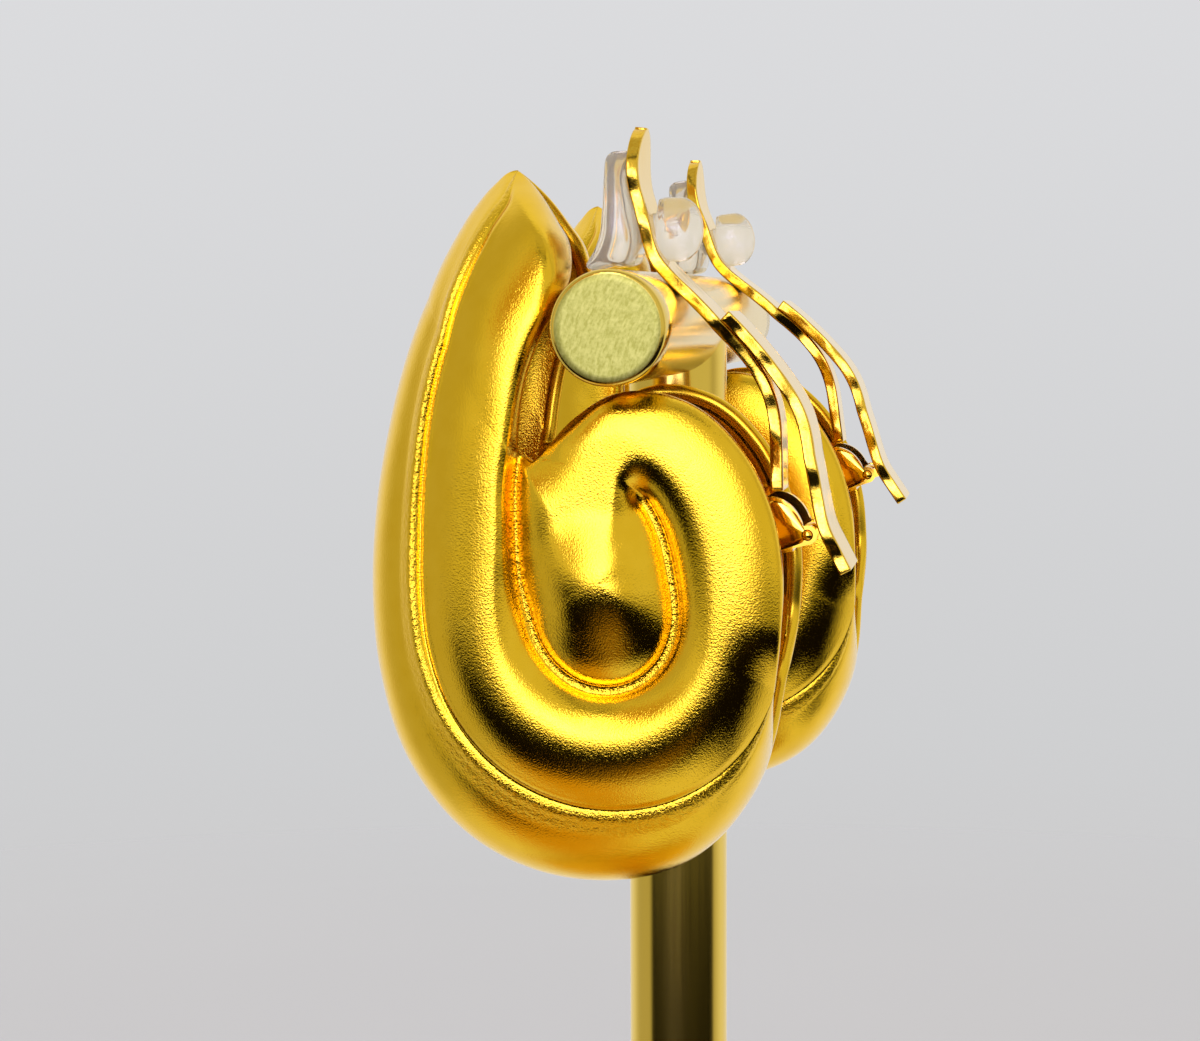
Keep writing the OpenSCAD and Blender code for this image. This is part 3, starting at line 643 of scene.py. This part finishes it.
def shell_sheet(bead):
    """Both sides of a shell as one grid: its points, marks and faces before joining. The
    grid is finest along the groove, the crease, the rim and the notch's root."""
    rays = spans((0, 46, 185), (46, ray_count, 17))
    ribs = np.linspace(0, len(horn_rows) - 1, 61)
    tube = spans((1.0, 1.1, 9), (1.1, 1.9, 15), (1.9, 2.16, 18), (2.16, 3.0, 13))
    over = np.union1d(spans((0.0, 0.84, 15), (0.84, 1.0, 12)), tube)
    side, side_marks = swirl_side(rays, over, bead)
    horn, horn_marks = horn_side(ribs, tube, bead)
    near = merged((side.reshape(-1, 3), grid_faces(*side.shape[:2], flip=True)),
                  (horn.reshape(-1, 3), grid_faces(*horn.shape[:2])))
    points, faces = merged(near, mirrored(*near))
    marks = np.concatenate([side_marks.reshape(-1, 2), horn_marks.reshape(-1, 2)])
    return points, np.tile(marks, (2, 1)), faces


# The sheet's greatest share of the half width, which thins it towards the tip.
thin_share = 0.45


def make_shell(name, front, node):
    """One shell: the outer sheet, and an inner sheet that lies a wall's thickness inside the
    same form without bead and crease, joined along the rim."""
    points, marks, faces = shell_sheet(bead=1.0)
    under = shell_sheet(bead=0.0)[0]
    first, marks, faces = joined(points, marks, faces)
    points, under = points[first], under[first]
    thickness = np.minimum(wall, thin_share * crown_level * taper(points[:, 2]))
    inner = under - normals_of(under, faces) * thickness[:, None]
    points, marks, faces = walled(points, inner, marks, faces)
    shell = new_piece(name, on_bar(points, front), faces, "stand_and_shells", "satin_gold",
                      [node])
    for n, mark in enumerate(("groove", "band", "inside")):
        shell.data.attributes.new(mark, "FLOAT", "POINT").data.foreach_set(
            "value", marks[:, n])
    return shell


shells = [make_shell("front_swirl", True, "front_shell"),
          make_shell("rear_swirl", False, "back_shell")]

# Satin gold: a fine even grain from blasting before the plating, and a row of tiny grains along
# the bead. The groove is painted deeper orange: painted shade of light bounced between its
# walls.
# Small burrs stand on the band's ridge and in the groove. The open lips have no grain.
material, lead, shader, place = new_material("satin_gold", Metallic=1.0)
groove, band, inside = (lead.node("ShaderNodeAttribute", {"attribute_name": name}, out=2)
                        for name in ("groove", "band", "inside"))
grain = place.noise(12000.0, roughness=0.6)
burr = place.noise(4200.0, detail=1.0)
beads = lead.node("ShaderNodeTexVoronoi", sockets={0: place, "Scale": 11000.0})
bead, bead_side = groove.step(0.86, 0.97), groove.step(0.7, 0.92)
ridge, lip = band.between(0.05, 0.22, 0.04), inside.between(0.3, 0.7, 0.15)
gold = place.noise(900.0, detail=3.0).step(0.3, 0.7).blend(
    (0.96, 0.61, 0.028), (0.99, 0.64, 0.036))
# Painted shade: the groove's colour is a deeper orange gold, standing in for light bounced in
# it.
feed(shader, "Base Color", (groove * 0.6).blend(gold, (0.98, 0.55, 0.02)))
feed(shader, "Roughness", 0.08 + grain * 0.07 + bead * 0.10 + lip * 0.16
     - band.step(0.5, 1.0) * 0.03)
bump(shader, grain * (1.0 - lip) * (ridge * 1.6 + 1.0) + ridge * burr * 3.0
     + bead * beads * 1.4 + bead_side * burr * 3.0, 0.55, 0.000024)
for shell in shells:
    shell.data.materials.append(material)

# The brackets: stamped from gold-plated sheet and polished. A plate is soldered across each
# shell's hollow. Two quarter-oval ears stand back from it, with an eye each for the hinge
# pin, and a narrow flange lies between them.

# The plate's face, thickness and lower edge, and the gap to the shell's edge on each side.
plate_x, plate_t, plate_bottom, plate_gap = 5.0, 0.5, -10.4, 0.1
# Centre of the ears' quarter oval, its reach back and its rise, and the lift of their foot.
ear_x, ear_z, ear_reach, ear_rise, foot_lift = 6.2, -9.5, 1.62, 1.9, 0.05
ear_inner, ear_t, eye_r, eye_hole = 3.2, 0.5, 0.44, 0.26
hinge = np.array([7.94, -9.3])
flange_t, flange_end = 0.36, np.array([7.25, -10.08])
# The dish in an ear's outer face: width of the plain rim round it, and of rim and slope
# together; the least radii of both from the eye's centre; its depth at the top and its growth
# by the millimetre below, as shares of the ear's thickness; and the reach where it starts.
rim_w, floor_w, rim_least, floor_least = 0.24, 0.34, 0.36, 0.32
dish_top, dish_slope, dish_reach = 0.16, 0.2, 0.7
bevel_width, hard_angle = 0.07, math.radians(35.0)


def prism(outline, low, high):
    """A side view's outline of (x, z) points carried across from y low to y high."""
    outline = np.asarray(outline, float)
    n = len(outline)
    points = np.concatenate([np.insert(outline, 1, y, axis=1) for y in (low, high)])
    walls = grid_faces(2, n, closed=True)
    return points, walls + [list(range(n)), list(range(2 * n - 1, n - 1, -1))]


def ear(outer, inner):
    """A plate with a round eye and a dished outer face inside a plain rim: rings of points,
    from the eye's far end over the outline to the dish and back to the eye, all paired by
    their direction from the eye's centre."""
    foot = (plate_x + plate_t, plate_bottom + foot_lift)
    top = (plate_x + plate_t, ear_z + ear_rise)
    angle = np.radians(np.linspace(0, 90, 16)[:-3])
    bow = np.stack([ear_x + ear_reach * np.sin(angle), ear_z + ear_rise * np.cos(angle)], -1)
    outline = np.concatenate([
        np.linspace(foot, top, 8)[:-1], bow, arc(hinge, eye_r, 112, -88, 14),
        np.linspace([hinge[0], hinge[1] - eye_r], foot, 8)[1:-1]])
    spoke = outline - hinge
    reach = np.linalg.norm(spoke, axis=1, keepdims=True)
    depth = (dish_top + dish_slope * (top[1] - outline[:, 1:])) * (reach > dish_reach)
    rings = [(eye_hole, inner), (reach, inner), (reach, outer),
             (np.maximum(reach - rim_w, rim_least), outer),
             (np.maximum(reach - floor_w, floor_least), outer + (inner - outer) * depth),
             (eye_hole, outer)]
    loops = []
    for r, y in rings:
        plan = hinge + r * spoke / reach
        loops.append(np.column_stack([plan[:, 0], np.broadcast_to(y, reach.shape)[:, 0],
                                      plan[:, 1]]))
    n = len(outline)
    i = np.arange(n)
    k = (i + 1) % n
    faces = []
    for a in range(len(rings)):
        b = (a + 1) % len(rings)
        faces += np.stack([a * n + i, a * n + k, b * n + k, b * n + i], -1).tolist()
    return np.concatenate(loops), faces


def make_bracket(name, front):
    """One bracket: plate, flange and both ears, with slightly rounded edges."""
    back_x, half = plate_x + plate_t, edge_level - plate_gap
    plate = [(plate_x, plate_bottom), (plate_x, ear_z + ear_rise),
             (back_x, ear_z + ear_rise), (back_x, plate_bottom)]
    flange = [(back_x, plate_bottom), flange_end, flange_end + (0, flange_t),
              (back_x, plate_bottom + flange_t)]
    ears = [ear(side * (ear_inner / 2 + ear_t), side * ear_inner / 2) for side in (-1, 1)]
    points, faces = merged(prism(plate, -half, half),
                           prism(flange, -ear_inner / 2, ear_inner / 2), *ears)
    bracket = new_piece(name, on_bar(points, front), faces, "stand_and_shells", "satin_gold")
    weld(bracket)
    bevel = bracket.modifiers.new("bevel", "BEVEL")
    bevel.width = bevel_width * mm
    bevel.segments = 2
    bevel.limit_method = "ANGLE"
    bevel.angle_limit = hard_angle
    bevel.harden_normals = True
    bracket.data.set_sharp_from_angle(angle=hard_angle)
    return bracket


brackets = [make_bracket("front_bracket", True), make_bracket("rear_bracket", False)]

# The clips: each is stamped from sheet. A broad paddle with a round top bends over the bar
# and runs on into a narrow spring tongue; a second strip on its back is the lever, which
# passes the hinge pin and ends square. The cut edges stay a little ragged.
sheet, paddle_w, tongue_w, lever_w, clip_angle = 0.56, 4.0, 2.8, 4.2, math.radians(50)
paddle_line = np.array([
    [0.21, 8.86], [0.18, 8.62], [0.11, 8.09], [0.05, 7.32], [0.08, 6.67], [0.17, 6.12],
    [0.33, 5.57], [0.50, 4.91], [0.63, 4.37], [0.76, 3.82], [1.00, 3.18], [1.42, 2.56],
    [2.00, 1.96], [2.70, 1.30], [3.33, 0.66], [3.96, -0.04], [4.63, -0.76], [5.29, -1.58],
    [5.84, -2.46], [6.20, -3.34], [6.40, -4.30], [6.46, -5.43], [6.48, -6.50], [6.50, -7.30]])
lever_line = np.array([
    [4.28, 0.42], [4.92, -0.22], [5.60, -0.98], [6.22, -1.74], [6.87, -2.62], [7.36, -3.40],
    [7.70, -4.20], [7.90, -5.00], [8.02, -5.80], [8.20, -6.70], [8.36, -7.60], [8.55, -8.55],
    [8.76, -9.20], [9.12, -9.92], [9.62, -10.88]])
# Heights of the paddle's top, of its full width's end and of the tongue's start.
paddle_top, wide_end, narrow_start = 8.9, -0.04, -1.58
# The pin and its domed ends, with the share of its radius and the drop of a ring on each
# dome; the knuckle round it, clear of the ears by a hair; and the link to the lever.
pin_r, pin_half, pin_dome, dome_share, dome_fall = 0.23, ear_inner / 2 + ear_t, 0.04, 0.7, 0.01
knuckle_r, knuckle_bevel, hair = eye_r - 0.02, 0.04, 0.06
link_half, link_end = 0.3, [(8.72, -9.1), (8.84, -9.4)]
# A strip's section has a point on each flat and on each cut side, so many corner radii from
# the corner. Its mark for cut edges lies between two distances, counted the same way.
flat_point, side_point, cut_from, cut_to = 3.0, 1.2, 0.6, 2.0
# Rings that close a strip's end: share of the section, and how far out in corner radii.
end_rings = [(0.99, 0.6), (0.96, 1.0), (0.02, 1.0)]


def capped_faces(rows, columns):
    """Quads of a grid closed over its columns, and one face over its first and last row."""
    ends = [list(range(columns))[::-1], list(range((rows - 1) * columns, rows * columns))]
    return grid_faces(rows, columns, closed=True) + ends


def strip(line, half_width, steps=7, edge=0.09):
    """A sheet strip: a flat section with four rounded corners, carried along a curve in x
    and z that runs smoothly through the line's rows, with a half width for each height.
    The last value is 1 on the cut edges and 0 on the faces."""
    at = np.linspace(0, len(line) - 1, (len(line) - 1) * steps + 1)
    path = between_rows(line, at)
    ahead = np.gradient(path, axis=0)
    ahead /= np.linalg.norm(ahead, axis=1, keepdims=True)
    square = np.stack([-ahead[:, 1], ahead[:, 0]], -1)
    half = np.maximum(half_width(path[:, 1]), edge + 0.01)
    corner = np.radians(np.linspace(0, 90, 5))
    quarter = np.concatenate([[[-flat_point * edge, edge]], np.stack(
        [edge * np.sin(corner), edge * np.cos(corner)], -1), [[edge, -side_point * edge]]])
    side = np.array([[1, 1], [1, -1], [-1, -1], [-1, 1]])
    section = np.concatenate([(quarter * s)[:: 1 if s[0] * s[1] > 0 else -1] for s in side])
    sign = np.repeat(side, len(quarter), axis=0)
    y = section[None, :, 0] + sign[None, :, 0] * (half[:, None] - edge)
    out = section[None, :, 1] + sign[None, :, 1] * (sheet / 2 - edge)
    y = np.where(sign[None, :, 0] * y < 0, 0.0, y)
    plan = path[:, None] + square[:, None] * out[..., None]
    body = np.stack([plan[..., 0], y, plan[..., 1]], -1)
    middle = body.mean(1, keepdims=True)
    push = np.insert(ahead, 1, 0.0, axis=1)[:, None] * edge

    def closing(end, way):
        """Rings that close an end: the section shrunk to a share of itself and moved out."""
        return [middle[end] + (body[end] - middle[end]) * share + way * push[end] * moved
                for share, moved in end_rings]

    points = np.concatenate(
        closing(slice(0, 1), -1)[::-1] + [body] + closing(slice(-1, None), 1))
    rows, columns = points.shape[:2]
    inward = np.abs(section[:, 0])
    cut = np.tile((inward >= cut_from * edge) & (inward <= cut_to * edge), rows).astype(float)
    return points.reshape(-1, 3), capped_faces(rows, columns), cut


def paddle_half(z):
    """Half of the paddle's width: a round top, straight sides, then the tongue."""
    round_top = np.sqrt(np.maximum((paddle_w / 2) ** 2 - np.maximum(
        z - (paddle_top - paddle_w / 2), 0.0) ** 2, 0.0))
    return np.minimum(round_top, paddle_w / 2 + (tongue_w - paddle_w) / 2 * eased(
        (wide_end - z) / (wide_end - narrow_start)))


def lever_half(z):
    """Half of the lever's width, the same all along."""
    return np.full_like(z, lever_w / 2)


def make_clip(name, front, body, node):
    """One clip: paddle with tongue, lever, pin, knuckle and link. The ends of pin and knuckle
    are profiles from the axis out, used for both ends alike."""
    paddle, paddle_faces, paddle_cut = strip(paddle_line, paddle_half)
    lever, lever_faces, lever_cut = strip(lever_line, lever_half)
    knuckle_half = ear_inner / 2 - hair
    pin_end = [[0.0, pin_half + pin_dome], [pin_r * dome_share, pin_half + pin_dome - dome_fall],
               [pin_r, pin_half - pin_dome - dome_fall]]
    knuckle_end = [[0.0, knuckle_half], [knuckle_r - knuckle_bevel, knuckle_half],
                   [knuckle_r, knuckle_half - knuckle_bevel]]
    turned = [lathe([[r, -d] for r, d in end] + end[::-1], (hinge[0], 0.0, hinge[1]),
                    back, right, turns=32) for end in (pin_end, knuckle_end)]
    link = prism([hinge + (0, link_half), *link_end, hinge - (0, link_half)],
                 -knuckle_half, knuckle_half)
    points, faces = merged((paddle, paddle_faces), (lever, lever_faces), *turned, link)
    cut = np.concatenate([paddle_cut, lever_cut])
    cut = np.pad(cut, (0, len(points) - len(cut)))
    clip = new_piece(name, on_bar(points, front), faces, body, "polished_gold", [node])
    clip.data.attributes.new("cut", "FLOAT", "POINT").data.foreach_set("value", cut)
    weld(clip)
    clip.data.set_sharp_from_angle(angle=clip_angle)
    return clip


clips = [make_clip("front_clip_metal", True, "front_clip_body", "front_clip"),
         make_clip("rear_clip_metal", False, "back_clip_body", "back_clip")]

# Polished gold: smooth with faint rolling marks. The cut edges are ragged, and painted darker
# in patches as painted shade.
material, lead, shader, place = new_material("polished_gold", Metallic=1.0)
cut = lead.node("ShaderNodeAttribute", {"attribute_name": "cut"}, out=2)
wave = place.noise(620.0, detail=0.0)
rag = place.noise(7000.0, detail=3.0, roughness=0.7)
# Painted shade: the cut edges' colour is darkened in ragged patches.
feed(shader, "Base Color", (cut * rag.step(0.35, 0.65)).blend(
    (0.97, 0.64, 0.07), (0.88, 0.53, 0.04)))
feed(shader, "Roughness", 0.07 + wave * 0.05 + cut * 0.03)
bump(shader, wave * (0.02 + cut * 0.98) + cut * rag * 0.015, 0.8, 0.0006)
for piece in clips + brackets:
    piece.data.materials.append(material)

# The pads: each is moulded in one from soft clear silicone, slightly milky. An oval cushion
# lies on the paddle's inner face, its lower part bent over the bar, and a neck through the
# paddle joins it to a stout stud behind, which keeps it on.
pad_d, pad_w, stud_z, stud_r, stud_end, stud_dome = 7.0, 4.6, 4.37, 1.45, 3.0, 1.0
# Side view of the cushion, from the top down: left x and z, right x and z.
cushion_rows = np.array([
    [-0.80, 7.90, -0.55, 7.90], [-1.22, 7.82, -0.32, 7.84], [-1.38, 7.50, -0.26, 7.50],
    [-1.38, 6.60, -0.26, 6.70], [-1.38, 5.60, -0.02, 5.70], [-1.42, 4.90, 0.12, 4.95],
    [-1.48, 4.28, 0.26, 4.30], [-1.62, 3.80, 0.28, 3.80], [-1.80, 3.40, 0.20, 3.40],
    [-2.02, 3.05, 0.08, 3.05], [-2.20, 2.75, -0.02, 2.86], [-2.16, 2.46, -0.10, 2.74]])
# Rows and turns of its grid, the power that gives its sections their full corners, and the
# least square of half its height, which keeps its ends blunt.
cushion_steps, cushion_turns, corner_power, least_square = 67, 72, 2 / 4.5, 0.5
# Its lower edge: share and rows by which it narrows, lift of its sides and rows of the lift.
narrowing, narrow_rows, side_lift, lift_rows = 0.35, 0.35, 0.14, 2.2
# Shares to which its first and last ring are shrunk to close its top and its lower edge.
top_share, low_share = 0.3, 0.6
# The neck through the paddle and the stud's front: radius, distance from the bar's axis.
neck_profile = [[0.0, 0.30], [0.7, 0.30], [0.75, 0.9], [1.05, 0.98], [1.38, 1.06], [stud_r, 1.3]]


def cushion():
    """The cushion: rows down the side view's two lines, each a ring whose sine and cosine
    are raised to a power, as wide as an oval of the pad's height and width is there."""
    at = np.linspace(0, len(cushion_rows) - 1, cushion_steps)
    row = between_rows(cushion_rows, at)
    left_side, right_side = row[:, :2], row[:, 2:]
    middle, half = (left_side + right_side) / 2, (right_side - left_side) / 2
    width = pad_w / pad_d * np.sqrt(
        np.maximum((pad_d / 2) ** 2 - (middle[:, 1] - stud_z) ** 2, least_square))
    narrow = 1 - np.exp(-((at[-1] - at) / narrow_rows)) * narrowing
    angle = np.linspace(0, 2 * math.pi, cushion_turns, endpoint=False)
    wave_x, wave_y = (np.sign(wave) * np.abs(wave) ** corner_power
                      for wave in (np.cos(angle), np.sin(angle)))
    plan = middle[:, None] + half[:, None] * (wave_x[None, :, None] * narrow[:, None, None])
    lift = side_lift * held((at - at[-1] + lift_rows) / lift_rows)[:, None] * (
        1 - wave_x[None] ** 2)
    y = width[:, None] * wave_y[None] * (narrowing + (1 - narrowing) * narrow[:, None])
    points = np.stack([plan[..., 0], y, plan[..., 1] + lift], -1)
    cap = points.mean(1, keepdims=True)
    points = np.concatenate([cap[:1] + (points[:1] - cap[:1]) * top_share, points,
                             cap[-1:] + (points[-1:] - cap[-1:]) * low_share])
    return points.reshape(-1, 3), capped_faces(*points.shape[:2])


def make_pad(name, front, body, node):
    """One pad: the cushion, and its neck and domed stud as a profile carried round an axis."""
    angle = np.radians(np.linspace(0, 88, 14))
    dome = np.stack([stud_r * np.cos(angle), stud_end - stud_dome * (1 - np.sin(angle))], -1)
    stud = lathe(np.concatenate([neck_profile, dome, [[0.0, stud_end]]]),
                 (0, 0, stud_z), right, up, turns=64)
    points, faces = merged(cushion(), stud)
    pad = new_piece(name, on_bar(points, front), faces, body, "clear_silicone", [node])
    weld(pad)
    return pad


pads = [make_pad("front_cushion", True, "front_clip_body", "front_pad"),
        make_pad("rear_cushion", False, "back_clip_body", "back_pad")]

# Clear silicone: see-through, a little milky, with faint flow marks in the surface.
material, lead, shader, place = new_material(
    "clear_silicone", Transmission_Weight=0.78, IOR=1.38)
flow = place.noise(500.0)
feed(shader, "Base Color", flow.step(0.3, 0.7).blend((0.95, 0.90, 0.74), (1.0, 0.96, 0.83)))
feed(shader, "Roughness", 0.05 + flow * 0.10)
bump(shader, flow, 0.25, 0.0001)
for pad in pads:
    pad.data.materials.append(material)
